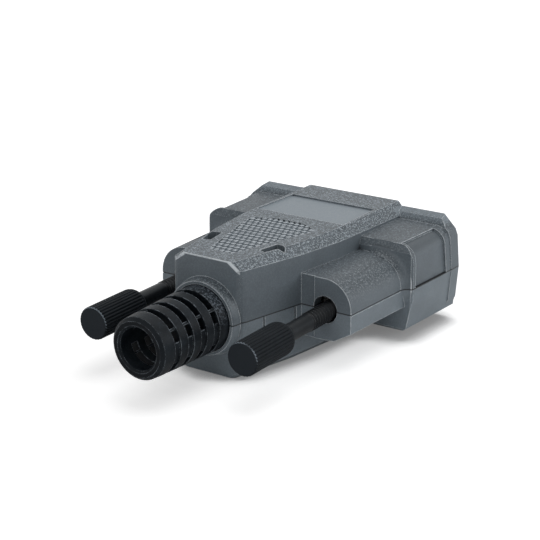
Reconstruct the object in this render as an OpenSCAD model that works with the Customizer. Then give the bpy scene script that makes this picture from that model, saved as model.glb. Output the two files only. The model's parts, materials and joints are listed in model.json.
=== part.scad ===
// Nine-way D-sub hood: two snapped half shells, a slotted cable boot and two
// captive thumbscrews. Origin at the centre of the mating face, +Y out of it
// towards the mating connector, +Z towards the upper shell. Millimetres.
// Lengths are laid out from the cable end (y = 0) and moved by from_cable_end().

/* [Body] */
// Length from the cable end to the mating face
hood_l = 39.2; // [38:0.1:44]
// Height over both half shells
body_h = 17.3; // [16.6:0.1:19]
// Width at the cable end
body_w_end = 11.8; // [11.4:0.1:13]
// Width where the screw ears begin
body_w_ear = 16.7; // [16:0.1:17.4]
// Width at the mating face
body_w_front = 19.4; // [18.8:0.1:20]
// Distance from the cable end at which the body has nearly its full width
flare_l = 20; // [16:0.5:23]
// Wall thickness of the half shells
wall = 1.6; // [1.2:0.1:1.8]
// Width of the bevel along the top and bottom edges
bevel_w = 1.5; // [0.8:0.1:2]
// Drop of that bevel at the cable end
bevel_h = 1.05; // [0.6:0.05:1.4]
// Drop of that bevel at the mating face
bevel_h_front = 1.7; // [1:0.05:1.8]
// Radius of the upright corners at the cable end
corner_r = 0.8; // [0.4:0.1:1]

/* [Screw ears] */
// Distance between the two jackscrew axes
screw_pitch = 24.99; // [24.9:0.01:25.1]
// Distance from the cable end to the rear face of the ears
ear_y = 11.4; // [10.5:0.1:12.5]
// Radius of the rounded top of an ear
ear_r = 4.35; // [4:0.05:4.5]
// Height of the ear's rounding centre above the screw axis
ear_rise = 0.35; // [0:0.05:0.6]
// Depth of an ear below the screw axis
ear_drop = 4.7; // [4:0.1:5.5]
// Depth of an ear's side below the screw axis
ear_side = 2.9; // [2.2:0.1:3.4]
// How far an ear's side flares outwards up to the block
ear_flare = 0.6; // [0:0.1:0.7]
// Width of the groove along the parting plane on an ear's side
seam = 0.2; // [0.1:0.05:0.3]
// Radius of the hole that the jackscrew passes through
ear_hole_r = 2.03; // [1.8:0.01:2.2]
// Thickness of the rear wall round that hole
ear_wall = 1.8; // [1.2:0.1:2.4]
// How far the pad round that hole stands proud
ear_pad = 0.2; // [0.1:0.05:0.4]

/* [Connector block] */
// Distance from the cable end to the rear face of the block
block_y = 25.4; // [24.5:0.1:26.5]
// Width of the block at its rear face
block_w_rear = 37.4; // [36.8:0.1:38]
// Width of the block at the mating face
block_w_front = 38.3; // [37.8:0.1:39]
// Height of the block's top above the parting plane, behind the bezel
block_top = 6.6; // [6.5:0.05:7.2]
// Depth of the block's bottom below the parting plane, behind the bezel
block_drop = 7; // [6.9:0.05:7.4]
// How far the block's lower sides draw in at the rear
block_draft = 1.25; // [0.8:0.05:1.5]
// Depth of the bezel round the mating face
bezel_l = 2.4; // [2.3:0.1:3.4]
// Height of the bezel over both half shells
bezel_h = 15.9; // [15.4:0.1:16.4]
// Chamfer of the bezel's corners
bezel_chamfer = 2.4; // [1.8:0.1:3]
// Depth of the finger grips below the block's flanks
grip_depth = 0.35; // [0.2:0.05:0.6]
// Distance from the block's side to the finger grip's upper edge
grip_edge = 2.6; // [2.2:0.1:3]
// Rim left behind the finger grips
grip_rim = 0.9; // [0.7:0.1:1.5]
// Distance from the finger grips to the bezel
grip_to_bezel = 1.5; // [0.5:0.1:3]

/* [Connector seat] */
// Width of the slot for the connector's flange
flange_w = 31.2; // [31:0.1:31.6]
// Height of the slot for the connector's flange
flange_h = 12.9; // [12.7:0.1:13]
// Thickness of that slot
flange_t = 1.2; // [1:0.05:1.4]
// Thickness of the lip in front of the flange
lip_t = 0.9; // [0.7:0.1:1.2]
// How far the lip overlaps the flange slot
lip_overlap = 0.75; // [0.4:0.05:1]
// Width of the room for the connector's rear housing
seat_w = 20; // [19.6:0.1:20.4]
// Depth of that room behind the flange
seat_l = 6; // [4:0.5:8]

/* [Top details] */
// Depth of the recessed grip field and label field
field_depth = 0.3; // [0.2:0.05:0.45]
// Width of the label field at its rear edge
label_w = 15.6; // [12:0.1:16]
// Length of the label field
label_l = 9.5; // [7:0.5:11]
// Distance from the label field to the mating face
label_to_front = 6.2; // [5:0.1:7]
// Length of the grip field
grip_l = 17.6; // [14:0.1:17.8]
// Width of the grip field at its wide end
grip_w = 11.6; // [9:0.1:11.8]
// Distance between the rows of grip blocks
grip_pitch = 1.15; // [0.9:0.05:1.6]

/* [Snap latches] */
// Distance from the cable end to the middle of a latch arm
latch_y = 8.5; // [8:0.1:9]
// Width of a latch arm along the hood
latch_w = 3.2; // [2.4:0.1:3.4]
// Distance from the cable end to the first slit of the springy tab
tab_y = 4.1; // [4:0.1:6]
// Width of the springy tab between its slits
tab_w = 6; // [5.8:0.1:6.2]
// Depth of the slits
slit_depth = 2.2; // [1.5:0.1:3]
// Thickness of a latch arm
latch_t = 1.1; // [0.8:0.05:1.3]
// Height of a latch arm above the parting plane
latch_h = 6.3; // [5:0.1:6.5]
// How far the latch hook stands out
latch_hook = 0.5; // [0.3:0.05:0.6]
// Width of the slits beside the latch in the lower shell
slit_w = 0.3; // [0.2:0.05:0.5]

/* [Cable grip] */
// Width across the flats of the V notches that grip the cable
cable_grip_w = 6; // [5.8:0.1:6.2]
// Thickness of those ribs
rib_t = 0.9; // [0.6:0.1:1.4]
// Distance from the cable end to the first rib
rib_y = 12.5; // [11.5:0.1:14]
// Distance between the ribs
rib_pitch = 2.5; // [2:0.1:4]

/* [Cable boot] */
// Length of the boot outside the hood
boot_l = 15.6; // [13:0.1:18]
// Outer radius at the tip
boot_tip_r = 4.45; // [4.1:0.05:4.6]
// Outer radius at the hood
boot_base_r = 4.9; // [4.8:0.05:5.1]
// Radius of the cable passage
boot_bore_r = 3.05; // [2:0.05:3.2]
// Number of slotted rows
boot_rows = 4; // [2:1:4]
// Distance between the slotted rows
boot_row_pitch = 2.75; // [2.5:0.05:3]
// Width of a slot along the boot
boot_slot_w = 1.2; // [0.8:0.05:1.5]
// Depth of the groove that each row of slots lies in
boot_groove = 0.25; // [0.1:0.05:0.3]
// Distance from the hood to the edge of the nearest row
boot_cuff_l = 3.6; // [2.5:0.05:4]
// Radius of the neck held by the hood's end wall
boot_neck_r = 4.2; // [4:0.05:4.5]
// Radius of the collar behind the end wall
boot_collar_r = 4.9; // [4.7:0.05:5]
// Thickness of the collar behind the end wall
boot_collar_t = 1.8; // [1.2:0.1:2.2]
// Radius of the shells' collar round the boot
collar_r = 5.8; // [5.7:0.05:6]

/* [Thumbscrews] */
// Radius of the knob
knob_r = 2.45; // [2.3:0.05:2.8]
// Length of the knob with its shoulder
knob_l = 10; // [8:0.1:12]
// Length of the tapered shoulder
shoulder_l = 1.5; // [0.8:0.1:2]
// Number of ribs round the knob
knob_ribs = 32; // [20:2:40]
// Depth of the grooves between the ribs
knob_rib_depth = 0.14; // [0.08:0.01:0.2]
// Radius of the plain shank
shank_r = 1.3; // [1.2:0.01:1.4]
// Radius over the 4-40 thread
thread_r = 1.42; // [1.4:0.01:1.44]
// How far the thread stands out of the mating face when driven home
thread_reach = 4.5; // [3.5:0.1:6]
// How far the rod runs into the knob
rod_grip = 7; // [5:0.1:8]
// How far behind the cable end a knob's end stands when drawn right back
screw_back = 10.1; // [6:0.1:12]
// How far the left screw is pushed in from there
left_push = 0; // [0:0.1:3]
// How far the right screw is pushed in from there
right_push = 1; // [0:0.1:3]
// How far the loose screws droop in their ears, in degrees
screw_droop = 0.9; // [0:0.1:1]
// Length of the guide that centres the rod behind the connector's flange
guide_l = 3.9; // [3:0.1:4.5]
// Length of thread at the rod's free end
thread_l = 5; // [4.6:0.1:7]
// Distance from the ear's rear face back to the start of the rear thread
rear_thread_l = 6; // [1:0.1:7]

/* [Retaining rings] */
// Outer radius of a retaining ring
ring_r = 2.45; // [2.3:0.05:2.5]
// Thickness of a retaining ring
ring_t = 0.7; // [0.5:0.05:1]
// Radial running clearance of the ring in the rod's groove
ring_fit = 0.05; // [0.02:0.01:0.08]

/* [Fits] */
// Clearance between a piece and the pocket that holds it
seat_gap = 0.1; // [0.05:0.01:0.2]
// Radius of the alignment pins
pin_r = 0.8; // [0.6:0.05:1]
// Length of the alignment pins
pin_l = 2; // [1.5:0.1:3]
// Distance of the alignment pins from the screw axes
pin_x = 4.1; // [3.9:0.1:4.3]

/* [Hidden] */

$fn = 48;
eps = 0.01;
reach = 60;

half_h = body_h / 2;
roof_z = half_h - wall;
screw_x = screw_pitch / 2;
bezel_y = hood_l - bezel_l;
mouth_y = hood_l - lip_t;
slot_y = mouth_y - flange_t;
seat_y = slot_y - seat_l;
seat_h = flange_h - 2 * lip_overlap;
end_wall = 2;
boot_pocket_y = end_wall + boot_collar_t + 2 * seat_gap;

// Screw channel: a wide part for the ring, then a guide for the thread
channel_r = ring_r + 0.6;
channel_y = ear_y + ear_wall;
guide_r = thread_r + 0.4;
knob_stop_y = ear_y - ear_pad - 0.05;
// Measured from the knob's end: the ring, the rear thread and the rod's tip. Between
// its two threads the rod is relieved, so that it runs free in the ear.
ring_from_knob = channel_y + seat_gap + screw_back;
rear_thread_y = ear_y + screw_back - rear_thread_l;
rod_end = knob_l + hood_l + thread_reach - knob_stop_y;
ring_travel = knob_stop_y + screw_back - knob_l;
guide_y = slot_y - guide_l;
relief_r = thread_r - 0.25;
groove_r = thread_r - 0.35;

// Latch arms stand inside the side walls, under the windows in the roof
latch_x = body_half(latch_y) - wall - seat_gap - latch_hook;

// Half width of the body at a distance from the cable end
function body_half(y) =
    y < ear_y ? (body_w_end + (body_w_ear - body_w_end) * y / ear_y) / 2
    : y < flare_l ? (body_w_ear + (body_w_knee - body_w_ear) * (y - ear_y) / (flare_l - ear_y)) / 2
    : (body_w_knee + (body_w_front - body_w_knee) * (y - flare_l) / (hood_l - flare_l)) / 2;
body_w_knee = body_w_front - 0.6;

module from_cable_end() { translate([0, -hood_l, 0]) children(); }

module both_sides() {
    children();
    mirror([1, 0, 0]) children();
}

// Keeps the part of its children above (or below) the parting plane
module above() { intersection() { children(); translate([-reach, -reach, 0]) cube([2 * reach, 3 * reach, reach]); } }
module below() { mirror([0, 0, 1]) above() mirror([0, 0, 1]) children(); }

// Extrudes a section drawn in X and Z along the hood, from y0 to y1
module along(y0, y1) { translate([0, y1, 0]) rotate([90, 0, 0]) linear_extrude(y1 - y0) children(); }

// A rod along the hood
module bar(r, y0, y1, x = 0, z = 0) { translate([x, y0, z]) rotate([-90, 0, 0]) cylinder(r = r, h = y1 - y0); }

// Symmetric plan of the body, drawn in X and Y and drawn in by an inset
module body_plan(inset, y0 = 0, y1 = hood_l) {
    ys = concat([y0], [for (y = [ear_y, flare_l]) if (y > y0 + eps && y < y1 - eps) y], [y1]);
    polygon(concat(
        [for (y = ys) [body_half(y) - inset, y]],
        [for (i = [len(ys) - 1:-1:0]) [inset - body_half(ys[i]), ys[i]]]));
}

// Body lofted through its cross sections: bevels along the top and bottom edges
// that grow towards the mating face, and rounded corners at the cable end
module body_section(y) {
    inset = y < corner_r ? corner_r - sqrt(corner_r * corner_r - pow(corner_r - y, 2)) : 0;
    half = body_half(y) - inset;
    foot = half_h - bevel_h - (bevel_h_front - bevel_h) * y / hood_l;
    top = half - bevel_w;
    polygon([[half, -foot], [half, foot], [top, half_h], [-top, half_h],
        [-half, foot], [-half, -foot], [-top, -half_h], [top, -half_h]]);
}
module body_form() {
    stations = [0, corner_r * 0.2, corner_r * 0.55, corner_r, ear_y, flare_l, hood_l - eps];
    hull() for (y = stations) along(y, y + eps) body_section(y);
}

// Half sections of an ear; its side moves out by a flare
module ear_section_upper(flare = 0) {
    inner = body_half(ear_y) - wall;
    side = screw_x + ear_r + flare;
    translate([screw_x + flare, ear_rise]) circle(r = ear_r);
    translate([inner, 0]) square([screw_x + flare - inner, ear_rise + ear_r]);
    translate([inner, 0]) square([side - seam - inner, ear_rise]);
    polygon([[screw_x, 0], [side - seam, 0], [side, seam], [side, ear_rise], [screw_x, ear_rise]]);
}
module ear_section_lower(flare = 0) {
    inner = body_half(ear_y) - wall;
    side = screw_x + ear_r + flare;
    polygon([[inner, 0], [side - seam, 0], [side, -seam], [side, -ear_side], [side - 2.75, 0.2 - ear_drop],
        [screw_x - 2, -ear_drop], [inner, -ear_drop]]);
}
module ear_section(upper, flare = 0) { if (upper) ear_section_upper(flare); else ear_section_lower(flare); }

// Ear with its pad and the fillet that runs out into the block. Its side flares
// by shearing the outer half, which starts a little outside the screw axis.
module ear(upper) {
    run = block_y + eps - ear_y;
    along(ear_y, block_y + eps) ear_section(upper);
    intersection() {
        multmatrix([[1, ear_flare / run, 0, -ear_flare * ear_y / run], [0, 1, 0, 0], [0, 0, 1, 0], [0, 0, 0, 1]])
            along(ear_y, block_y + eps) ear_section(upper);
        translate([screw_x + channel_r - 1, ear_y, -reach]) cube([reach, run, 2 * reach]);
    }
    pad_x = screw_x - 1.8;
    intersection() {
        along(ear_y - ear_pad, ear_y + eps) ear_section(upper);
        translate([pad_x, 0, -reach]) cube([reach, reach, 2 * reach]);
    }
    fillet = 1.2;
    translate([screw_x + ear_flare, block_y - fillet, ear_rise]) rotate([-90, 0, 0]) rotate_extrude()
        difference() {
            square([ear_r + fillet, fillet + eps]);
            translate([ear_r + fillet, 0]) circle(r = fillet);
        }
}

// Section of the bezel: chamfered corners and a slight draft on the sides
module bezel_section() {
    w = block_w_front / 2;
    h = bezel_h / 2;
    both_sides() polygon([[0, -h], [w - bezel_chamfer - 0.4, -h], [w - 0.8, bezel_chamfer - 0.4 - h], [w - 0.4, bezel_chamfer + 0.6 - h],
        [w, 0], [w - 0.4, h - bezel_chamfer - 0.6], [w - 0.8, h - bezel_chamfer + 0.4], [w - bezel_chamfer - 0.4, h], [0, h]]);
}

// Section of the block behind the bezel: rounded upper corners, drafted below
module block_section_upper(inset = 0) {
    w = block_w_front / 2 - 0.1 - inset;
    top = block_top - inset;
    r = 2.4 - inset;
    both_sides() {
        polygon([[0, 0], [w, 0], [w - 0.4, top - r], [w - 0.4 - r, top], [0, top]]);
        translate([w - 0.4 - r, top - r]) circle(r = r);
    }
}
module block_section_lower(draft) {
    w = block_w_front / 2 - 0.1;
    polygon([[-w, 0], [w, 0], [w - draft, 0.6 - block_drop], [w - draft - 0.85, -block_drop],
        [draft + 0.85 - w, -block_drop], [draft - w, 0.6 - block_drop]]);
}

// Envelope that narrows the block to the rear and bevels its rear edges
module block_plan(inset = 0) {
    rear = block_w_rear / 2 - inset;
    front = block_w_front / 2 - inset;
    both_sides() polygon([[0, block_y], [rear - 0.3, block_y], [rear, block_y + 0.3],
        [front, bezel_y], [front, hood_l], [0, hood_l]]);
}
module rear_taper() {
    bevel_run = 0.6;
    intersection() {
        translate([0, 0, -reach]) linear_extrude(2 * reach) block_plan();
        rotate([90, 0, 90]) translate([0, 0, -reach]) linear_extrude(2 * reach)
            polygon([[block_y, block_top - 1.1], [block_y + bevel_run, block_top], [hood_l, block_top],
                [hood_l, -block_drop], [block_y + bevel_run, -block_drop], [block_y, 0.5 - block_drop]]);
    }
}

module block_form() {
    intersection() {
        union() {
            along(block_y, hood_l - eps) block_section_upper();
            hull() {
                along(block_y, block_y + eps) block_section_lower(block_draft);
                along(hood_l - 2 * eps, hood_l - eps) block_section_lower(block_draft - 0.6);
            }
        }
        rear_taper();
    }
}

// Finger grips: panels sunk by an even depth into the block's flanks, from the
// parting plane up over the rounded corner to the edge of the top
module finger_grips() {
    grip_y = block_y + grip_rim;
    difference() {
        linear_extrude(reach) difference() {
            translate([-reach, grip_y]) square([2 * reach, bezel_y - grip_to_bezel - grip_y]);
            block_plan(grip_edge);
        }
        intersection() {
            along(block_y, hood_l) block_section_upper(grip_depth);
            translate([0, 0, -eps]) linear_extrude(reach) block_plan(grip_depth);
        }
    }
}

// Bezel round the mating face, with a steep shoulder down to the block
module bezel_form() {
    shoulder = 0.9;
    intersection() {
        along(bezel_y, hood_l) bezel_section();
        rotate([90, 0, 90]) translate([0, 0, -reach]) linear_extrude(2 * reach)
            polygon([[bezel_y, -block_drop], [bezel_y + shoulder, -bezel_h / 2 + 0.4], [hood_l, -bezel_h / 2],
                [hood_l, bezel_h / 2], [bezel_y + shoulder, bezel_h / 2 - 0.4], [bezel_y, block_top - 0.2]]);
    }
}

// Hood before it is hollowed
module hood_form(upper) {
    body_form();
    difference() {
        block_form();
        if (upper) finger_grips();
    }
    bezel_form();
    both_sides() ear(upper);
}

// Room inside the hood, common to both shells
module hood_room() {
    translate([0, 0, -roof_z]) linear_extrude(2 * roof_z)
        body_plan(wall, boot_pocket_y + wall, seat_y);
    along(seat_y - eps, slot_y + eps) square([seat_w, seat_h], center = true);
    along(slot_y, mouth_y) square([flange_w, flange_h], center = true);
    along(mouth_y - eps, hood_l + 1) square([flange_w - 2 * lip_overlap, seat_h], center = true);
    both_sides() {
        bar(ear_hole_r, 0, channel_y + eps, screw_x);
        bar(channel_r, channel_y, guide_y, screw_x);
        bar(guide_r, guide_y - eps, slot_y + eps, screw_x);
    }
    bar(boot_neck_r + seat_gap, -reach, end_wall + eps);
    bar(boot_collar_r + seat_gap, end_wall, boot_pocket_y);
    bar(boot_bore_r + 0.6, boot_pocket_y - eps, boot_pocket_y + wall + eps);
}

// Cross ribs behind the boot that grip the cable
module cable_ribs() {
    for (y = [rib_y, rib_y + rib_pitch])
        difference() {
            translate([0, 0, -roof_z - eps]) linear_extrude(2 * (roof_z + eps)) intersection() {
                body_plan(wall - eps, y, y + rib_t);
                translate([-reach, y]) square([2 * reach, rib_t]);
            }
            translate([0, y, 0]) rotate([0, 45, 0]) cube([cable_grip_w, 3, cable_grip_w], center = true);
            translate([seat_gap / 2 - reach, y - 1, -seat_gap / 2]) cube([2 * reach, 3, seat_gap]);
        }
}

// Collar that both shells form round the boot
module end_collar() {
    collar_l = 1.5;
    translate([0, eps, 0]) rotate([90, 0, 0]) rotate_extrude() polygon([
        [boot_base_r + seat_gap, 0], [collar_r, 0], [collar_r - 0.2, collar_l - 0.25],
        [collar_r - 0.35, collar_l], [boot_base_r + seat_gap, collar_l]]);
}

// Fields drawn in X and Y on the roof
module label_field() {
    y0 = hood_l - label_to_front - label_l;
    polygon([[-label_w / 2, y0], [label_w / 2, y0], [label_w / 2 - 0.3, y0 + label_l], [0.3 - label_w / 2, y0 + label_l]]);
}
module grip_field() {
    y0 = 3.2;
    y1 = y0 + grip_l;
    half = grip_w / 2;
    polygon([for (p = [[1.9 / half, 0], [1, 0.82], [0.93, 0.91], [0.4, 1], [-0.4, 1], [-0.93, 0.91], [-1, 0.82], [-1.9 / half, 0]])
        [p[0] * half, y0 + p[1] * (y1 - y0)]]);
}

// Staggered rows of small raised blocks that fill the grip field
module grip_blocks() {
    block_l = 0.62 * grip_pitch;
    block_w = 0.55;
    step_x = 0.95;
    intersection() {
        translate([0, 0, half_h - field_depth - eps]) linear_extrude(field_depth) grip_field();
        for (row = [0:floor(grip_l / grip_pitch)], col = [-7:7])
            translate([(col + (row % 2) / 2) * step_x - block_w / 2, 3.4 + row * grip_pitch, half_h - field_depth - 2 * eps])
                cube([block_w, block_l, field_depth]);
    }
}

// Bent window in the roof above each latch
module latch_window() {
    polygon([[4.25, 6.8], [4.6, 8.9], [4.85, 10.4], [5.85, 10.4], [6.7, 9.7], [7.05, 9], [6.1, 8.5], [5.85, 7.6], [5.5, 6.3]]);
}

// Cantilever latch arm of the lower shell: a foot in the side wall, hook outwards
module latch_arm() {
    foot_x = body_half(latch_y - latch_w / 2) - wall + 0.5;
    translate([0, latch_y + latch_w / 2, 0]) rotate([90, 0, 0]) linear_extrude(latch_w)
        polygon([[latch_x - latch_t, -4.5], [foot_x, -4.5], [foot_x, -1], [latch_x, -0.4],
            [latch_x, latch_h - 1.4], [latch_x + latch_hook, latch_h - 1],
            [latch_x, latch_h], [latch_x - latch_t, latch_h]]);
}

module upper_shell() {
    color([0.44, 0.47, 0.49]) from_cable_end() {
        difference() {
            union() {
                above() hood_form(true);
                above() end_collar();
            }
            hood_room();
            translate([0, 0, half_h - field_depth]) linear_extrude(reach) {
                label_field();
                grip_field();
            }
            both_sides() {
                translate([0, 0, roof_z - eps]) linear_extrude(reach) latch_window();
                translate([screw_x + pin_x, bezel_y - 4, -eps]) cylinder(r = pin_r + seat_gap, h = pin_l + seat_gap);
            }
        }
        grip_blocks();
        above() cable_ribs();
    }
}

module lower_shell() {
    color([0.42, 0.45, 0.47]) from_cable_end() {
        difference() {
            union() {
                below() hood_form(false);
                below() end_collar();
            }
            hood_room();
            both_sides() for (y = [tab_y, tab_y + tab_w])
                translate([latch_x - latch_t, y, -slit_depth]) cube([wall + latch_t + 2, slit_w, reach]);
        }
        below() cable_ribs();
        both_sides() {
            latch_arm();
            translate([screw_x + pin_x, bezel_y - 4, -eps]) cylinder(r = pin_r, h = pin_l);
        }
    }
}

// Outline of the boot, turned about its axis: radius against distance from the tip
module boot_outline() {
    lip = 0.5;
    inner_end = boot_l + boot_pocket_y - seat_gap;
    polygon([[boot_bore_r, 0.3], [boot_bore_r + 0.3, 0], [boot_tip_r - lip, 0], [boot_tip_r, lip],
        [boot_tip_r + 0.1, 2], [boot_base_r, boot_l - boot_cuff_l], [boot_base_r, boot_l - seat_gap],
        [boot_neck_r, boot_l - seat_gap], [boot_neck_r, boot_l + end_wall + seat_gap],
        [boot_collar_r, boot_l + end_wall + seat_gap], [boot_collar_r, inner_end], [boot_bore_r, inner_end]]);
}

// Slots that let the boot bend. Each row lies in a shallow groove and has the same
// three slots on either side of the boot, turned by half a turn.
module boot_slots() {
    slots = [[72, 66], [23, 22], [314, 32]];
    taper = (boot_base_r - boot_tip_r - 0.1) / (boot_l - boot_cuff_l - 2);
    for (row = [0:boot_rows - 1]) {
        from_hood = boot_cuff_l + row * boot_row_pitch;
        outer = boot_base_r - taper * (row * boot_row_pitch + boot_slot_w / 2);
        translate([0, -from_hood, 0]) rotate([90, 0, 0]) {
            rotate_extrude() translate([outer - boot_groove, 0]) square([2, boot_slot_w]);
            for (slot = slots, turn = [0, 180])
                rotate([0, 0, slot[0] + turn - slot[1] / 2]) rotate_extrude(angle = slot[1])
                    translate([boot_bore_r - 1, 0]) square([4, boot_slot_w]);
        }
    }
}

module strain_relief_boot() {
    color([0.13, 0.14, 0.16]) from_cable_end() difference() {
        translate([0, -boot_l, 0]) rotate([-90, 0, 0]) rotate_extrude() boot_outline();
        boot_slots();
    }
}

// Thumbscrew pieces, drawn from the knob's end at y = 0
module knob() {
    groove_l = knob_l - shoulder_l;
    difference() {
        rotate([-90, 0, 0]) rotate_extrude() polygon([[0, 0], [knob_r - 0.3, 0], [knob_r, 0.3], [knob_r, groove_l],
            [knob_r - 0.35, groove_l + 0.7 * shoulder_l], [knob_r - 0.85, knob_l], [0, knob_l]]);
        for (i = [0:knob_ribs - 1]) rotate([0, i * 360 / knob_ribs, 0])
            translate([knob_r, -eps, 0]) rotate([-90, 0, 0]) rotate([0, 0, 45])
                translate([-knob_rib_depth, -knob_rib_depth, 0] / sqrt(2)) cube([sqrt(2) * knob_rib_depth, sqrt(2) * knob_rib_depth, groove_l]);
        bar(shank_r, knob_l - rod_grip, knob_l + 1);
    }
}

module rod() {
    tip = 0.4;
    groove_y = ring_from_knob - ring_fit;
    difference() {
        union() {
            bar(shank_r, knob_l - rod_grip, rear_thread_y + eps);
            bar(thread_r, rear_thread_y, groove_y + ring_t + 1);
            bar(relief_r, groove_y, rod_end - thread_l + eps);
            bar(thread_r, rod_end - thread_l, rod_end - tip);
            translate([0, rod_end - tip - eps, 0]) rotate([-90, 0, 0])
                cylinder(r1 = thread_r, r2 = thread_r - tip, h = tip);
        }
        translate([0, groove_y, 0]) rotate([-90, 0, 0]) difference() {
            cylinder(r = thread_r + 1, h = ring_t + 2 * ring_fit);
            cylinder(r = groove_r, h = ring_t + 2 * ring_fit);
        }
    }
}

module retaining_ring() {
    gap_angle = 70;
    translate([0, ring_from_knob, 0]) rotate([-90, 0, 0])
        rotate([0, 0, 90 + gap_angle / 2]) rotate_extrude(angle = 360 - gap_angle)
            translate([groove_r + ring_fit, 0]) square([ring_r - groove_r - ring_fit, ring_t]);
}

// Places a screw on its axis, which droops from the mating face back to the knob
module on_screw(side, push) {
    translate([side * screw_x, 0, 0]) rotate([screw_droop, 0, 0]) translate([0, push - screw_back - hood_l, 0]) children();
}

module left_thumb_knob() { color([0.12, 0.13, 0.14]) on_screw(-1, left_push) knob(); }
module right_thumb_knob() { color([0.12, 0.13, 0.14]) on_screw(1, right_push) knob(); }
module left_jackscrew() { color([0.16, 0.17, 0.18]) on_screw(-1, left_push) rod(); }
module right_jackscrew() { color([0.16, 0.17, 0.18]) on_screw(1, right_push) rod(); }
module left_retaining_ring() { color([0.6, 0.6, 0.58]) on_screw(-1, left_push) retaining_ring(); }
module right_retaining_ring() { color([0.6, 0.6, 0.58]) on_screw(1, right_push) retaining_ring(); }

upper_shell();
lower_shell();
strain_relief_boot();
left_thumb_knob();
right_thumb_knob();
left_jackscrew();
right_jackscrew();
left_retaining_ring();
right_retaining_ring();
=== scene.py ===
import json
import math

import bpy
import numpy as np
from mathutils import Matrix, Vector


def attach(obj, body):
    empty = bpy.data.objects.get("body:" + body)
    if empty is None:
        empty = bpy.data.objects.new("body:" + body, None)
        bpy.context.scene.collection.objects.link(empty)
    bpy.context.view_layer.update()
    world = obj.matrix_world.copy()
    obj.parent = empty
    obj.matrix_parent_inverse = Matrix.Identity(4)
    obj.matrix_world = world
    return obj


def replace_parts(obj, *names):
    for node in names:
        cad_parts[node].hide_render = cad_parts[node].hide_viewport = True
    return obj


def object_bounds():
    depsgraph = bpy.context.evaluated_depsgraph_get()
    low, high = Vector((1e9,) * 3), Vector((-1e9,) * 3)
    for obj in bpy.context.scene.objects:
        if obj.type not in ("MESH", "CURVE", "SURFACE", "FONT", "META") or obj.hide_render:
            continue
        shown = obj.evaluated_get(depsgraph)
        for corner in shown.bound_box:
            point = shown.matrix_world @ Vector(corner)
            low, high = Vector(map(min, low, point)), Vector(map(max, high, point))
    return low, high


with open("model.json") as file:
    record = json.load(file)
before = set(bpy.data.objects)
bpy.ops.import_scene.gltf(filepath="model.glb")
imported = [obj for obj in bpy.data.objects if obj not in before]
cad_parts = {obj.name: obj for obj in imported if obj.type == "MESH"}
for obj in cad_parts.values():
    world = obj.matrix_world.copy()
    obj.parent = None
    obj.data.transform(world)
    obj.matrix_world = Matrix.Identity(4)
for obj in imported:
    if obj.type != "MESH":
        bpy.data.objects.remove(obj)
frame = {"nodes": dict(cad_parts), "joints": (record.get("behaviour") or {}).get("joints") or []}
cadLow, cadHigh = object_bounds()
mm = 0.001
print("frame loaded:", len(frame["nodes"]), "solids")


# Links an output to an input, or sets the input where the value is plain
def feed(tree, target, socket, value):
    if isinstance(value, bpy.types.NodeSocket):
        tree.links.new(value, target.inputs[socket])
    else:
        target.inputs[socket].default_value = value


def newMaterial(name):
    material = bpy.data.materials.new(name)
    material.use_nodes = True
    tree = material.node_tree
    tree.nodes.clear()
    output = tree.nodes.new("ShaderNodeOutputMaterial")
    shader = tree.nodes.new("ShaderNodeBsdfPrincipled")
    tree.links.new(shader.outputs["BSDF"], output.inputs["Surface"])
    return material, tree, shader


def calc(tree, operation, a, b=0.0):
    node = tree.nodes.new("ShaderNodeMath")
    node.operation = operation
    feed(tree, node, 0, a)
    feed(tree, node, 1, b)
    return node.outputs[0]


def times(tree, *values):
    product = values[0]
    for value in values[1:]:
        product = calc(tree, "MULTIPLY", product, value)
    return product


# Smooth step from one output value to another as the value goes from low to high
def ramp(tree, value, low, high, outLow=0.0, outHigh=1.0):
    node = tree.nodes.new("ShaderNodeMapRange")
    node.interpolation_type = "SMOOTHSTEP"
    feed(tree, node, "Value", value)
    feed(tree, node, "From Min", low)
    feed(tree, node, "From Max", high)
    feed(tree, node, "To Min", outLow)
    feed(tree, node, "To Max", outHigh)
    return node.outputs["Result"]


def blendColour(tree, factor, a, b):
    node = tree.nodes.new("ShaderNodeMix")
    node.data_type = "RGBA"
    feed(tree, node, 0, factor)
    feed(tree, node, 6, a)
    feed(tree, node, 7, b)
    return node.outputs[2]


# Cloudy noise whose features are about this many metres across
def grain(tree, place, size, detail=2.0, roughness=0.5):
    node = tree.nodes.new("ShaderNodeTexNoise")
    feed(tree, node, "Vector", place)
    feed(tree, node, "Scale", 1 / size)
    feed(tree, node, "Detail", detail)
    feed(tree, node, "Roughness", roughness)
    return node.outputs["Fac"]


# Rounded cells about this many metres across: distance from their middles
def pebbles(tree, place, size):
    node = tree.nodes.new("ShaderNodeTexVoronoi")
    node.feature = "SMOOTH_F1"
    feed(tree, node, "Vector", place)
    feed(tree, node, "Scale", 1 / size)
    feed(tree, node, "Smoothness", 0.6)
    return node.outputs["Distance"]


# 1 where the value lies between low and high, with soft flanks
def inBand(tree, value, low, high, soft=0.02 * mm):
    rise = ramp(tree, value, low - soft, low + soft)
    fall = ramp(tree, value, high - soft, high + soft, 1.0, 0.0)
    return calc(tree, "MULTIPLY", rise, fall)


# What counts as an edge: how close the rounded normal keeps to the face's own, and how
# open the surface is on outward edges and in crevices
edgeLimits = {
    "turned": (0.975, 0.88), "outward": (0.5, 0.7), "creviceShade": (0.5, 0.25),
}
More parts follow.
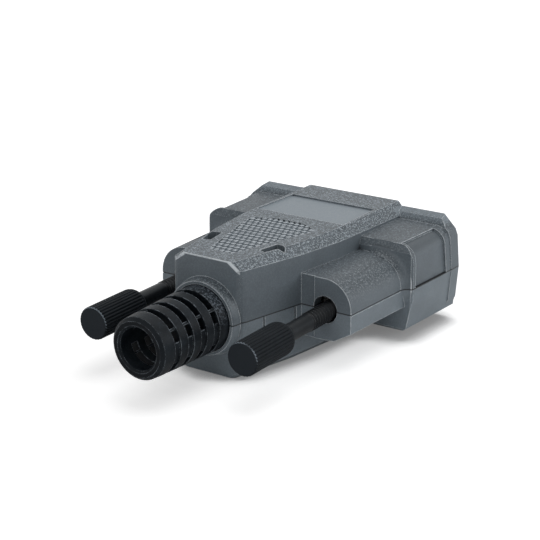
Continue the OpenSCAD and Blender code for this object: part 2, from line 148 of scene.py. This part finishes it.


# The normal of edges rounded to this radius, a mask that is 1 on the outward edges among
# them, for painted highlights, and one that is 1 deep in crevices and holes, for painted shade
def roundedEdges(tree, radius, reach):
    bevel = tree.nodes.new("ShaderNodeBevel")
    bevel.samples = 6
    feed(tree, bevel, "Radius", radius)
    geometry = tree.nodes.new("ShaderNodeNewGeometry")
    dot = tree.nodes.new("ShaderNodeVectorMath")
    dot.operation = "DOT_PRODUCT"
    tree.links.new(bevel.outputs["Normal"], dot.inputs[0])
    tree.links.new(geometry.outputs["True Normal"], dot.inputs[1])
    openness = tree.nodes.new("ShaderNodeAmbientOcclusion")
    openness.samples = 8
    openness.only_local = True
    feed(tree, openness, "Distance", reach)
    turned = ramp(tree, dot.outputs["Value"], *edgeLimits["turned"])
    outward = ramp(tree, openness.outputs["AO"], *edgeLimits["outward"])
    edge = times(tree, turned, outward)
    creviceShade = ramp(tree, openness.outputs["AO"], *edgeLimits["creviceShade"])
    return bevel.outputs["Normal"], edge, creviceShade


def bump(tree, height, strength, distance, normal):
    node = tree.nodes.new("ShaderNodeBump")
    feed(tree, node, "Strength", strength)
    feed(tree, node, "Distance", distance)
    feed(tree, node, "Height", height)
    tree.links.new(normal, node.inputs["Normal"])
    return node.outputs["Normal"]


# Painted light and shade among these colours: the lower shell's walls lighter, ledges below the
# roof darker, the bezel's top band lighter, the grip field lighter with bright tops, pale edge
# highlights, and the seam's dark reused as crevice shade
shellFinish = {
    "wall": (0.117, 0.141, 0.161, 1),
    "wallBelowLit": (0.165, 0.197, 0.223, 1),
    "roof": (0.080, 0.100, 0.117, 1),
    "ledgeShade": (0.062, 0.077, 0.089, 1),
    "bezelTop": (0.170, 0.202, 0.228, 1),
    "pit": (0.030, 0.038, 0.044, 1),
    "speck": (0.46, 0.515, 0.56, 1),
    "label": (0.238, 0.275, 0.306, 1),
    "gripTopHighlight": (0.46, 0.51, 0.55, 1),
    "gripFloorLightened": (0.22, 0.255, 0.285, 1),
    "edge": (0.74, 0.79, 0.83, 1),
    "seam": (0.012, 0.014, 0.016, 1),
    "pebbleSize": 0.37 * mm, "pebbleHeight": 0.075 * mm,
    "speckSize": 0.25 * mm, "fineSize": 0.16 * mm,
    "cloudSize": 3.2 * mm, "patchSize": 0.9 * mm, "creviceReach": 1.2 * mm,
    "roughness": 0.46, "shine": 0.36, "edgeRadius": 0.2 * mm, "seamHalf": 0.13 * mm,
    "seamCore": 0.4,
    "bumpStrength": 0.6,
}

# How strongly each layer shows. Of two numbers the first holds outside the zone named
# and the second inside it; limits are values of the noise, and facings are parts of
# the normal, between which a layer comes in.
shellLayers = {
    "upFacing": (0.15, 0.75), "downFacing": (-0.15, -0.75),
    "cloudLimits": (0.3, 0.75), "speckLimits": (0.52, 0.6), "pitLimits": (0.49, 0.4),
    "gripLimits": (0.44, 0.58), "patchLimits": (0.32, 0.54), "roughLimits": (0.2, 0.8),
    "cloudAmount": (0.0, 0.16),
    "speckOnCoarse": (0.05, 0.62), "pitOnCoarse": (0.12, 0.8), "fineOnCoarse": (0.22, 0.6),
    "coarseOnRoof": (0.5, 1), "coarseUnder": 0.7, "smoothBezel": 0.6,
    "label": 0.88, "grips": 0.85, "gripTopHighlight": (0.05, 0.75),
    "creviceOnGrips": (0.85, 0.15), "roofRim": 0.8, "patches": (0.4, 1.0),
    "roughnessDrop": 0.1, "roughnessRise": 0.16,
}

# Where the shells' zones begin and end: spans run along y from the mating face, heights
# along z from the parting plane, and the rest across from the middle
shellZones = {
    "upperHeight": (0.2 * mm, 0.4 * mm), "underHeight": (-4.0 * mm, -4.4 * mm),
    "lowerHeight": (0.0, -0.2 * mm), "roofHeight": (6.9 * mm, 7.3 * mm),
    "ledgeHeight": (7.0 * mm, 6.6 * mm), "fieldHeight": (8.2 * mm, 8.5 * mm),
    "labelSpan": (-15.68 * mm, -6.22 * mm), "labelEdge": (7.9 * mm, 7.8 * mm),
    "panelSpan": (-12.88 * mm, -3.92 * mm), "panelHeight": (0.06 * mm, 6.3 * mm),
    "panelStart": (15.2 * mm, 15.6 * mm),
    "gripSpan": (-36.0 * mm, -18.5 * mm), "gripHeight": (8.2 * mm, 8.25 * mm),
    "gripTopHeight": (8.55 * mm, 8.6 * mm), "gripHalf": 5.7 * mm,
    "gripEdge": (-0.05 * mm, 0.05 * mm),
    "gripFlankSlope": 0.2706, "gripFlankHalf": 11.64 * mm,
    "gripCornerSlope": -1.943, "gripCornerHalf": -33.43 * mm,
    "bezelSpan": (-2.6 * mm, 0.1 * mm), "bezelHeight": (8.1 * mm, 8.0 * mm),
    "roofLevel": 8.65 * mm, "roofEndHalf": 3.6 * mm, "bevelAcross": 0.573, "bevelUp": 0.819,
    "rimStart": (-38.98 * mm, -39.1 * mm), "rimDepth": (-0.2 * mm, -0.1 * mm),
    "crownAcross": (11.6 * mm, 15.0 * mm), "crownSpan": (-27.6 * mm, -12.7 * mm),
    "crownHeight": (3.0 * mm, 3.2 * mm),
}


# Moulded grey plastic: coarse pebbles on what faces up, a fine grain on the walls, smooth floors
# in the label field and the finger panels, painted highlights on edges, painted shade in
# crevices, and painted light and shade by height and facing
def shellGrey(finish, layers, zones):
    material, tree, shader = newMaterial("shellGrey")
    coords = tree.nodes.new("ShaderNodeTexCoord")
    place = coords.outputs["Object"]
    split = tree.nodes.new("ShaderNodeSeparateXYZ")
    tree.links.new(place, split.inputs[0])
    x, y, z = split.outputs
    sideways = calc(tree, "ABSOLUTE", x)
    facing = tree.nodes.new("ShaderNodeSeparateXYZ")
    tree.links.new(coords.outputs["Normal"], facing.inputs[0])
    upward = times(tree, ramp(tree, facing.outputs["Z"], *layers["upFacing"]),
                   ramp(tree, z, *zones["upperHeight"]))
    under = times(tree, ramp(tree, facing.outputs["Z"], *layers["downFacing"]),
                  ramp(tree, z, *zones["underHeight"]))

    # Masks of the label field, the finger panels, the grip blocks and the roof
    label = times(tree, inBand(tree, z, *zones["fieldHeight"]),
                  inBand(tree, y, *zones["labelSpan"]),
                  ramp(tree, sideways, *zones["labelEdge"]))
    panel = times(tree, inBand(tree, y, *zones["panelSpan"]),
                  inBand(tree, z, *zones["panelHeight"]),
                  ramp(tree, sideways, *zones["panelStart"]))
    gripFlank = calc(tree, "ADD", calc(tree, "MULTIPLY", y, zones["gripFlankSlope"]),
                     zones["gripFlankHalf"])
    gripCorner = calc(tree, "ADD", calc(tree, "MULTIPLY", y, zones["gripCornerSlope"]),
                      zones["gripCornerHalf"])
    gripHalf = calc(tree, "MINIMUM", calc(tree, "MINIMUM", gripFlank, gripCorner),
                    zones["gripHalf"])
    grips = times(tree, inBand(tree, y, *zones["gripSpan"]),
                  ramp(tree, z, *zones["gripHeight"]),
                  ramp(tree, calc(tree, "SUBTRACT", gripHalf, sideways), *zones["gripEdge"]))
    roof = times(tree, ramp(tree, z, *zones["roofHeight"]), upward)
    ledgeShade = times(tree, ramp(tree, z, *zones["ledgeHeight"]), upward)
    bezelTop = times(tree, roof, inBand(tree, y, *zones["bezelSpan"]),
                     ramp(tree, z, *zones["bezelHeight"]))
    smooth = calc(tree, "MAXIMUM", calc(tree, "MAXIMUM", label, panel),
                  calc(tree, "MAXIMUM", grips, times(tree, bezelTop, layers["smoothBezel"])))
    coarse = times(tree, upward, calc(tree, "SUBTRACT", 1.0, smooth),
                   ramp(tree, roof, 0, 1, *layers["coarseOnRoof"]))
    coarse = calc(tree, "MAXIMUM", coarse, times(tree, under, layers["coarseUnder"]))

    cells = pebbles(tree, place, finish["pebbleSize"])
    fine = grain(tree, place, finish["fineSize"], 3, 0.6)
    clouds = grain(tree, place, finish["cloudSize"], 3, 0.55)
    speck = grain(tree, place, finish["speckSize"], 3, 0.75)
    height = times(tree, calc(tree, "SUBTRACT", 1.0, cells), coarse)
    fineAmount = ramp(tree, coarse, 0, 1, *layers["fineOnCoarse"])
    height = calc(tree, "ADD", height, times(tree, fine, fineAmount))

    # Colour: zones, then clouds, pale pebble tops and dark pits
    # Painted light: the lower shell's walls are lighter, for light bounced up from the floor
    colour = blendColour(tree, ramp(tree, z, *zones["lowerHeight"]),
                         finish["wall"], finish["wallBelowLit"])
    colour = blendColour(tree, roof, colour, finish["roof"])
    # Painted shade: upward faces below the roof, such as the ear and block tops, are darker
    colour = blendColour(tree, ledgeShade, colour, finish["ledgeShade"])
    # Painted light: the bezel's top band is lighter
    colour = blendColour(tree, bezelTop, colour, finish["bezelTop"])
    cloudy = ramp(tree, clouds, *layers["cloudLimits"], *layers["cloudAmount"])
    colour = blendColour(tree, cloudy, colour, finish["pit"])
    specks = times(tree, ramp(tree, speck, *layers["speckLimits"]),
                   ramp(tree, coarse, 0, 1, *layers["speckOnCoarse"]))
    colour = blendColour(tree, specks, colour, finish["speck"])
    pits = times(tree, ramp(tree, speck, *layers["pitLimits"]),
                 ramp(tree, coarse, 0, 1, *layers["pitOnCoarse"]))
    colour = blendColour(tree, pits, colour, finish["pit"])
    colour = blendColour(tree, times(tree, label, layers["label"]), colour, finish["label"])
    # Painted light on the grip field: its floor lighter to offset the shade between the blocks,
    # and patchy painted highlights on the block tops
    gripTopHighlight = times(tree, grips, ramp(tree, z, *zones["gripTopHeight"]))
    colour = blendColour(tree, times(tree, grips, layers["grips"]), colour,
                         finish["gripFloorLightened"])
    gripHighlightPatches = times(tree, gripTopHighlight,
                 ramp(tree, speck, *layers["gripLimits"], *layers["gripTopHighlight"]))
    colour = blendColour(tree, gripHighlightPatches, colour, finish["gripTopHighlight"])

    # Painted shade in crevices, holes and slits, in the seam's dark colour, fainter between the
    # grip blocks
    normal, edge, creviceShade = roundedEdges(tree, finish["edgeRadius"], finish["creviceReach"])
    creviceShade = times(tree, creviceShade, ramp(tree, grips, 0, 1, *layers["creviceOnGrips"]))
    colour = blendColour(tree, creviceShade, colour, finish["seam"])

    # Painted highlights on edges, broken up along their length: strongest on the rim of the
    # roof's cable end, whose sides are bevelled, and missing on the crowns of the screw ears
    belowRoof = calc(tree, "SUBTRACT", z, zones["roofLevel"])
    pastHalf = calc(tree, "SUBTRACT", sideways, zones["roofEndHalf"])
    offBevel = calc(tree, "ADD", times(tree, pastHalf, zones["bevelAcross"]),
                    times(tree, belowRoof, zones["bevelUp"]))
    endRim = times(tree, ramp(tree, y, *zones["rimStart"]),
                   ramp(tree, calc(tree, "MAXIMUM", belowRoof, offBevel), *zones["rimDepth"]))
    edge = calc(tree, "MAXIMUM", edge, times(tree, endRim, layers["roofRim"]))
    patchNoise = grain(tree, place, finish["patchSize"], 3, 0.7)
    patches = ramp(tree, patchNoise, *layers["patchLimits"], *layers["patches"])
    crown = times(tree, inBand(tree, sideways, *zones["crownAcross"]),
                  inBand(tree, y, *zones["crownSpan"]),
                  ramp(tree, z, *zones["crownHeight"]))
    edgeHighlight = times(tree, edge, patches, calc(tree, "SUBTRACT", 1.0, crown))
    colour = blendColour(tree, edgeHighlight, colour, finish["edge"])

    # The dark parting line
    seam = ramp(tree, calc(tree, "ABSOLUTE", z), finish["seamCore"] * finish["seamHalf"],
                finish["seamHalf"], 1.0, 0.0)
    colour = blendColour(tree, seam, colour, finish["seam"])

    feed(tree, shader, "Base Color", colour)
    feed(tree, shader, "Roughness",
         ramp(tree, speck, *layers["roughLimits"],
              finish["roughness"] - layers["roughnessDrop"],
              finish["roughness"] + layers["roughnessRise"]))
    feed(tree, shader, "Specular IOR Level", finish["shine"])
    feed(tree, shader, "Normal",
         bump(tree, height, finish["bumpStrength"], finish["pebbleHeight"], normal))
    return material


# Per piece: its own colours, and painted tones for faces that look back along the cable (light
# on the knob, shade on the boot), a painted highlight on their rim, and painted highlights on
# edges
blackFinish = {
    "boot": {
        "base": (0.0034, 0.0055, 0.0078, 1), "pale": (0.020, 0.026, 0.032, 1),
        "edge": (0.28, 0.32, 0.36, 1), "end": (0.0028, 0.0045, 0.0065, 1),
        "rimHighlight": (0.0034, 0.0055, 0.0078, 1), "cuff": (0.120, 0.140, 0.165, 1),
        "cuffSpan": (-43.0 * mm, -39.0 * mm), "roughness": 0.44, "shine": 0.1,
        "grainSize": 0.3 * mm, "bumpHeight": 0.04 * mm, "edgeRadius": 0.24 * mm,
        "metallic": 0.0,
    },
    "knob": {
        "base": (0.0055, 0.0078, 0.0100, 1), "pale": (0.0095, 0.0130, 0.0165, 1),
        "edge": (0.025, 0.030, 0.036, 1), "end": (0.0150, 0.0190, 0.0235, 1),
        "rimHighlight": (0.17, 0.20, 0.23, 1), "cuff": (0.0095, 0.0130, 0.0165, 1),
        "cuffSpan": (0, 0), "roughness": 0.55, "shine": 0.09,
        "grainSize": 0.15 * mm, "bumpHeight": 0.012 * mm, "edgeRadius": 0.08 * mm,
        "metallic": 0.0,
    },
    "screw": {
        "base": (0.008, 0.010, 0.012, 1), "pale": (0.016, 0.019, 0.022, 1),
        "edge": (0.14, 0.15, 0.16, 1), "end": (0.008, 0.010, 0.012, 1),
        "rimHighlight": (0.014, 0.015, 0.016, 1), "cuff": (0.016, 0.019, 0.022, 1),
        "cuffSpan": (0, 0), "roughness": 0.38, "shine": 0.2,
        "grainSize": 0.12 * mm, "bumpHeight": 0.006 * mm, "edgeRadius": 0.05 * mm,
        "metallic": 0.55,
    },
}

# What all the black pieces share
blackLayers = {
    "cloudSize": 2.4 * mm, "patchSize": 0.8 * mm, "creviceReach": 1.0 * mm,
    "creviceShade": (0, 0, 0, 1), "creviceAmount": 0.7, "dust": (0.0, 0.6), "specks": (0.0, 0.7),
    "cuff": (0.0, 0.8), "rimHighlight": (0.35, 0.9), "patches": (0.06, 0.9), "bumpStrength": 0.7,
    "roughnessDrop": 0.08, "roughnessRise": 0.14,
    "dustLimits": (0.35, 0.75), "speckLimits": (0.56, 0.66), "cuffLimits": (0.5, 0.6),
    "rimLimits": (0.4, 0.5), "patchLimits": (0.38, 0.64), "roughLimits": (0.2, 0.8),
    "cuffFacing": (-0.1, 0.5), "endFacing": (0.85, 0.97), "rimUpFacing": (-0.2, 0.3),
    "rimFacing": (0.2, 0.8), "rimSoft": 0.08,
}


# Black surface with a leathery grain, cloudy dust, painted highlights on edges and painted shade
# in crevices.
# Faces that look back along the cable are painted lighter on the knob and darker on the boot,
# and the rim round them carries a painted highlight.
def blackMoulding(name, finish, layers):
    material, tree, shader = newMaterial(name)
    coords = tree.nodes.new("ShaderNodeTexCoord")
    place = coords.outputs["Object"]
    split = tree.nodes.new("ShaderNodeSeparateXYZ")
    tree.links.new(place, split.inputs[0])
    facing = tree.nodes.new("ShaderNodeSeparateXYZ")
    tree.links.new(coords.outputs["Normal"], facing.inputs[0])
    fine = grain(tree, place, finish["grainSize"], 3, 0.65)
    clouds = grain(tree, place, layers["cloudSize"], 4, 0.6)
    dust = ramp(tree, clouds, *layers["dustLimits"], *layers["dust"])
    colour = blendColour(tree, dust, finish["base"], finish["pale"])
    specks = ramp(tree, fine, *layers["speckLimits"], *layers["specks"])
    colour = blendColour(tree, specks, colour, finish["pale"])
    backward = calc(tree, "MULTIPLY", facing.outputs["Y"], -1.0)
    upward = ramp(tree, facing.outputs["Z"], *layers["cuffFacing"])
    # Painted light and shade on faces that look back along the cable: darker on the boot,
    # lighter on the knob
    endFaces = ramp(tree, backward, *layers["endFacing"])
    colour = blendColour(tree, endFaces, colour, finish["end"])
    cuff = times(tree, inBand(tree, split.outputs["Y"], *finish["cuffSpan"]), upward,
                 ramp(tree, fine, *layers["cuffLimits"], *layers["cuff"]))
    colour = blendColour(tree, cuff, colour, finish["cuff"])
    # Painted highlight on the upper side of the rim round those faces
    rimHighlight = times(tree, inBand(tree, backward, *layers["rimFacing"], layers["rimSoft"]),
                ramp(tree, facing.outputs["Z"], *layers["rimUpFacing"]),
                ramp(tree, clouds, *layers["rimLimits"], *layers["rimHighlight"]))
    colour = blendColour(tree, rimHighlight, colour, finish["rimHighlight"])
    normal, edge, creviceShade = roundedEdges(tree, finish["edgeRadius"], layers["creviceReach"])
    # Painted shade deep in crevices and slots
    colour = blendColour(tree, times(tree, creviceShade, layers["creviceAmount"]), colour,
                         layers["creviceShade"])
    # Painted highlights on outward edges, broken up in patches
    patchNoise = grain(tree, place, layers["patchSize"], 3, 0.7)
    patches = ramp(tree, patchNoise, *layers["patchLimits"], *layers["patches"])
    colour = blendColour(tree, times(tree, edge, patches), colour, finish["edge"])
    feed(tree, shader, "Base Color", colour)
    feed(tree, shader, "Metallic", finish["metallic"])
    feed(tree, shader, "Specular IOR Level", finish["shine"])
    feed(tree, shader, "Roughness",
         ramp(tree, fine, *layers["roughLimits"],
              finish["roughness"] - layers["roughnessDrop"],
              finish["roughness"] + layers["roughnessRise"]))
    feed(tree, shader, "Normal",
         bump(tree, fine, layers["bumpStrength"], finish["bumpHeight"], normal))
    return material


ringFinish = {
    "bright": (0.56, 0.55, 0.53, 1), "dull": (0.34, 0.33, 0.31, 1),
    "stainSize": 1.0 * mm, "scratchSize": 0.05 * mm, "scratchDepth": 0.004 * mm,
    "scratchStrength": 0.3, "roughness": (0.24, 0.42), "edgeRadius": 0.04 * mm,
    "stainLimits": (0.4, 0.7), "scratchLimits": (0.3, 0.7),
    "creviceReach": 0.3 * mm,
}


# Spring steel with dull stains and fine scratches
def springSteel(finish):
    material, tree, shader = newMaterial("springSteel")
    place = tree.nodes.new("ShaderNodeTexCoord").outputs["Object"]
    stains = grain(tree, place, finish["stainSize"], 4, 0.6)
    scratches = grain(tree, place, finish["scratchSize"], 2, 0.5)
    normal = roundedEdges(tree, finish["edgeRadius"], finish["creviceReach"])[0]
    stained = ramp(tree, stains, *finish["stainLimits"])
    colour = blendColour(tree, stained, finish["bright"], finish["dull"])
    feed(tree, shader, "Base Color", colour)
    feed(tree, shader, "Metallic", 1.0)
    feed(tree, shader, "Roughness",
         ramp(tree, scratches, *finish["scratchLimits"], *finish["roughness"]))
    feed(tree, shader, "Normal",
         bump(tree, scratches, finish["scratchStrength"], finish["scratchDepth"], normal))
    return material


shell = shellGrey(shellFinish, shellLayers, shellZones)
bootBlack = blackMoulding("bootBlack", blackFinish["boot"], blackLayers)
knobBlack = blackMoulding("knobBlack", blackFinish["knob"], blackLayers)
screwBlack = blackMoulding("screwBlack", blackFinish["screw"], blackLayers)
ringSteel = springSteel(ringFinish)
dressed = {
    "upper_shell": shell, "lower_shell": shell, "strain_relief_boot": bootBlack,
    "left_retaining_ring": ringSteel, "right_retaining_ring": ringSteel,
}
for nodeName, material in dressed.items():
    for slot in frame["nodes"][nodeName].material_slots:
        slot.material = material
print("mouldings finished")


# A skin turned about an axis: row i lies along[i] from the origin and has the radii
# radius[i], one for each of the equal steps round the axis. The first and last rows
# close on the axis with a fan of triangles.
def turnedSkin(name, along, radius, joint, material, body):
    rowCount, steps = radius.shape
    origin, axis = np.array(joint["pos_m"]), np.array(joint["axis"])
    angle = np.linspace(0, 2 * np.pi, steps, endpoint=False)
    right = np.array([1.0, 0, 0])
    up = np.cross(right, axis)
    ring = np.cos(angle)[:, None] * right + np.sin(angle)[:, None] * up
    points = origin + along[:, None, None] * axis + radius[:, :, None] * ring
    ends = origin + along[[0, -1], None] * axis
    verts = np.concatenate([points.reshape(-1, 3), ends])
    index = np.arange(rowCount * steps).reshape(rowCount, steps)
    nextStep = np.roll(index, -1, axis=1)
    quads = np.stack([index[1:], nextStep[1:], nextStep[:-1], index[:-1]], -1).reshape(-1, 4)
    first = np.stack([index[0], nextStep[0], np.full(steps, rowCount * steps)], -1)
    last = np.stack([nextStep[-1], index[-1], np.full(steps, rowCount * steps + 1)], -1)
    a, b, c, d = (verts[quads[:, i]] for i in range(4))
    volume = (np.einsum("ij,ij->", a, np.cross(b, c))
              + np.einsum("ij,ij->", a, np.cross(c, d)))
    mesh = bpy.data.meshes.new(name)
    mesh.from_pydata(verts.tolist(), [], [*quads.tolist(), *first.tolist(), *last.tolist()])
    if volume < 0:
        mesh.flip_normals()
    mesh.validate()
    mesh.update()
    mesh.materials.append(material)
    piece = bpy.data.objects.new(name, mesh)
    bpy.context.scene.collection.objects.link(piece)
    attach(piece, body)
    return piece


rodSizes = {  # measured along the screw from its retaining ring, towards the tip
    "start": -20.4 * mm, "rearThread": (-7.9 * mm, -0.2 * mm),
    "groove": (-0.05 * mm, 0.75 * mm), "collarEnd": 1.65 * mm,
    "frontThread": (14.15 * mm, 19.15 * mm),
    "shankRadius": 1.3 * mm, "threadRadius": 1.42 * mm, "threadDepth": 0.3 * mm,
    "grooveRadius": 1.07 * mm, "reliefRadius": 1.17 * mm, "tip": 0.4 * mm,
    "taper": 0.3 * mm, "step": 0.02 * mm,
    "runIn": 0.8 * mm, "runOut": 0.3 * mm, "tipRunOut": 0.2 * mm, "tipCut": 0.3,
    "pitch": 0.635 * mm, "toothHeight": 1.25, "toothSlope": 2.5,
    "steps": 40, "rowsPerTurn": 10,
    "shankRows": 12, "collarRows": 40, "reliefRows": 8,
}


# A rod with two cut threads. Each thread is a helix: its phase is the distance along
# the rod in pitches minus the angle in turns, and the radius falls from the crest to
# the root and back as the phase goes from 0 to 1.
def screwRod(side, joint, s):
    rear, front, step, taper = s["rearThread"], s["frontThread"], s["step"], s["taper"]
    rearRows = round((rear[1] - rear[0]) / s["pitch"] * s["rowsPerTurn"])
    frontRows = round((front[1] - front[0]) / s["pitch"] * s["rowsPerTurn"])
    along = np.concatenate([
        np.linspace(s["start"], rear[0], s["shankRows"], endpoint=False),
        np.linspace(rear[0], rear[1], rearRows, endpoint=False),
        np.linspace(rear[1], s["collarEnd"], s["collarRows"], endpoint=False),
        np.linspace(s["collarEnd"], front[0], s["reliefRows"], endpoint=False),
        np.linspace(front[0], front[1], frontRows)])
    shank, crest = s["shankRadius"], s["threadRadius"]
    groove, relief = s["grooveRadius"], s["reliefRadius"]
    grooveStart, grooveEnd = s["groove"]
    base = np.interp(along, [
        rear[0], rear[0] + taper, grooveStart, grooveStart + step, grooveEnd,
        grooveEnd + step, s["collarEnd"], s["collarEnd"] + taper, front[0] - step,
        front[0] + taper, front[1] - s["tip"], front[1]
    ], [shank, crest, crest, groove, groove, crest, crest, relief, relief, crest, crest,
        crest - s["tip"]])
    cut = np.interp(along, [
        rear[0], rear[0] + s["runIn"], rear[1] - s["runOut"], rear[1],
        front[0], front[0] + s["runIn"], front[1] - s["tipRunOut"], front[1]
    ], [0, 1, 1, 0, 0, 1, 1, s["tipCut"]])
    turn = np.arange(s["steps"]) / s["steps"]
    phase = (along[:, None] / s["pitch"] - turn) % 1
    tooth = np.clip(s["toothHeight"] - s["toothSlope"] * np.abs(phase - 0.5), 0, 1)
    radius = base[:, None] - s["threadDepth"] * cut[:, None] * tooth
    return turnedSkin(side + "ThreadedRod", along, radius, joint, screwBlack,
                      side + "_screw")


knobSizes = {
    "fromRing": -23.4 * mm, "length": 10 * mm, "radius": 2.45 * mm,
    "shoulder": 1.5 * mm, "shoulderRadius": 1.6 * mm,
    "boreRadius": 1.31 * mm, "boreLength": 7 * mm, "axisGap": 0.02 * mm,
    "ribs": 32, "ribDepth": 0.14 * mm, "ribPower": 1.4, "stepsPerRib": 8,
    "edge": 0.3 * mm, "edgeInset": 1.2, "ribStart": 0.1, "ribEnd": 0.4,
    "edgeRows": 7, "shoulderRows": 8, "sideRows": 12,
}


# A knurled knob turned about its screw. The outline runs from the end face over a
# quarter-round edge and along the side, then narrows with the square of the distance
# into the shoulder and turns back into the bore. The ribs are left between grooves:
# the radius loses the rib depth times one minus the absolute sine of half the rib
# count times the angle, raised so that the ribs stay wide.
def thumbKnob(side, joint, k):
    edge, length, radius, gap = k["edge"], k["length"], k["radius"], k["axisGap"]
    shoulder = length - k["shoulder"]
    boreEnd = length - k["boreLength"]
    bend = np.linspace(0, np.pi / 2, k["edgeRows"])
    swell = np.linspace(0, 1, k["shoulderRows"] + 1)[1:]
    straight = np.linspace(2 * edge, shoulder, k["sideRows"])
    along = np.concatenate([
        [0, 0], edge * (1 - np.cos(bend)), straight, shoulder + swell * k["shoulder"],
        [length, boreEnd, boreEnd]])
    outline = np.concatenate([
        [gap, radius - k["edgeInset"] * edge], radius - edge * (1 - np.sin(bend)),
        np.full(k["sideRows"], radius),
        radius - (radius - k["shoulderRadius"]) * swell ** 2,
        [k["boreRadius"], k["boreRadius"], gap]])
    angle = np.linspace(0, 2 * np.pi, k["ribs"] * k["stepsPerRib"], endpoint=False)
    groove = (1 - np.abs(np.sin(angle * k["ribs"] / 2))) ** k["ribPower"]
    ribSpan = [k["ribStart"] * edge, edge, shoulder, shoulder + k["ribEnd"] * k["shoulder"]]
    ribbed = np.interp(along, ribSpan, [0, 1, 1, 0])
    ribbed[-3:] = 0
    skin = outline[:, None] - k["ribDepth"] * ribbed[:, None] * groove
    return turnedSkin(side + "KnurledKnob", along + k["fromRing"], skin, joint, knobBlack,
                      side + "_screw")


for joint in frame["joints"]:
    if joint["name"].endswith("_turn"):
        side = joint["name"].split("_")[0]
        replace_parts(screwRod(side, joint, rodSizes), side + "_jackscrew")
        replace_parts(thumbKnob(side, joint, knobSizes), side + "_thumb_knob")
print("thumbscrews cut")


paper = {
    "white": (0.9, 0.9, 0.9, 1), "contactShadow": (0.25, 0.25, 0.26, 1),
    "contactReach": 4 * mm, "contactLimits": (0.45, 0.97), "contactGlow": 0.3,
    "glow": (0.5, 1.0), "glowSpan": (0.08, 0.4), "roughness": 0.9, "shine": 0.1,
    "half": 3.0, "gap": 0.02 * mm,
}


# Paper-white floor that reads brighter to the camera alone, the more so far from the
# object, with a painted contact shadow close to what stands on it
def paperWhite(finish):
    material, tree, shader = newMaterial("paperWhite")
    output = next(n for n in tree.nodes if n.type == "OUTPUT_MATERIAL")
    # Painted contact shadow: the floor's colour greys and its camera glow dims where the object
    # is near
    contactShadow = tree.nodes.new("ShaderNodeAmbientOcclusion")
    contactShadow.samples = 8
    feed(tree, contactShadow, "Distance", finish["contactReach"])
    openness = ramp(tree, contactShadow.outputs["AO"], *finish["contactLimits"],
                    finish["contactGlow"], 1.0)
    feed(tree, shader, "Base Color",
         blendColour(tree, openness, finish["contactShadow"], finish["white"]))
    feed(tree, shader, "Roughness", finish["roughness"])
    feed(tree, shader, "Specular IOR Level", finish["shine"])
    glow = tree.nodes.new("ShaderNodeEmission")
    rays = tree.nodes.new("ShaderNodeLightPath")
    place = tree.nodes.new("ShaderNodeTexCoord").outputs["Object"]
    distance = tree.nodes.new("ShaderNodeVectorMath")
    distance.operation = "LENGTH"
    tree.links.new(place, distance.inputs[0])
    strength = ramp(tree, distance.outputs["Value"], *finish["glowSpan"], *finish["glow"])
    feed(tree, glow, "Strength",
         times(tree, rays.outputs["Is Camera Ray"], openness, strength))
    both = tree.nodes.new("ShaderNodeAddShader")
    tree.links.new(shader.outputs[0], both.inputs[0])
    tree.links.new(glow.outputs[0], both.inputs[1])
    tree.links.new(both.outputs[0], output.inputs["Surface"])
    return material


floorHalf, floorLevel = paper["half"], cadLow.z - paper["gap"]
corners = [(-floorHalf, -floorHalf, floorLevel), (floorHalf, -floorHalf, floorLevel),
           (floorHalf, floorHalf, floorLevel), (-floorHalf, floorHalf, floorLevel)]
floorMesh = bpy.data.meshes.new("floor")
floorMesh.from_pydata(corners, [], [(0, 1, 2, 3)])
floorMesh.materials.append(paperWhite(paper))
floor = bpy.data.objects.new("floor", floorMesh)
bpy.context.scene.collection.objects.link(floor)

lamps = {
    "overhead": {"place": (0.05, 0.12, 0.55), "size": 0.5, "watts": 1.28},
    "rightBack": {"place": (0.55, 0.28, 0.26), "size": 0.3, "watts": 1.2},
    "front": {"place": (0.05, -0.6, 0.28), "size": 0.5, "watts": 0.75},
}
lampAim = Vector((0, -0.02, 0))
for name, lamp in lamps.items():
    data = bpy.data.lights.new(name, "AREA")
    data.size = lamp["size"]
    data.energy = lamp["watts"]
    light = bpy.data.objects.new(name, data)
    light.location = lamp["place"]
    beam = lampAim - Vector(lamp["place"])
    light.rotation_euler = beam.to_track_quat("-Z", "Y").to_euler()
    bpy.context.scene.collection.objects.link(light)

# White to the camera, in reflections and through glass, dimmer as a light
skyLight = 0.35
world = bpy.data.worlds.new("studio")
bpy.context.scene.world = world
world.use_nodes = True
sky = world.node_tree
paths = sky.nodes.new("ShaderNodeLightPath")
seen = calc(sky, "MAXIMUM", paths.outputs["Is Camera Ray"], paths.outputs["Is Glossy Ray"])
seen = calc(sky, "MAXIMUM", seen, paths.outputs["Is Transmission Ray"])
feed(sky, sky.nodes["Background"], "Color", (1, 1, 1, 1))
feed(sky, sky.nodes["Background"], "Strength", calc(sky, "MAXIMUM", seen, skyLight))
bpy.context.scene.view_settings.view_transform = "Standard"

viewpoint = {  # place and aim in millimetres, roll in degrees
    "place": (119.3, -196.8, 74.9), "aim": (-0.145, -23.37, 2.21), "roll": -0.12,
    "lens": 99.94, "sensor": 36, "clip": 0.01,
}
cameraData = bpy.data.cameras.new("camera")
cameraData.lens = viewpoint["lens"]
cameraData.sensor_width = viewpoint["sensor"]
cameraData.clip_start = viewpoint["clip"]
camera = bpy.data.objects.new("camera", cameraData)
place, aim = Vector(viewpoint["place"]) * mm, Vector(viewpoint["aim"]) * mm
look = (aim - place).to_track_quat("-Z", "Y").to_matrix()
roll = Matrix.Rotation(math.radians(viewpoint["roll"]), 3, "Z")
camera.matrix_world = Matrix.Translation(place) @ (look @ roll).to_4x4()
bpy.context.scene.collection.objects.link(camera)
bpy.context.scene.camera = camera
print("studio set")
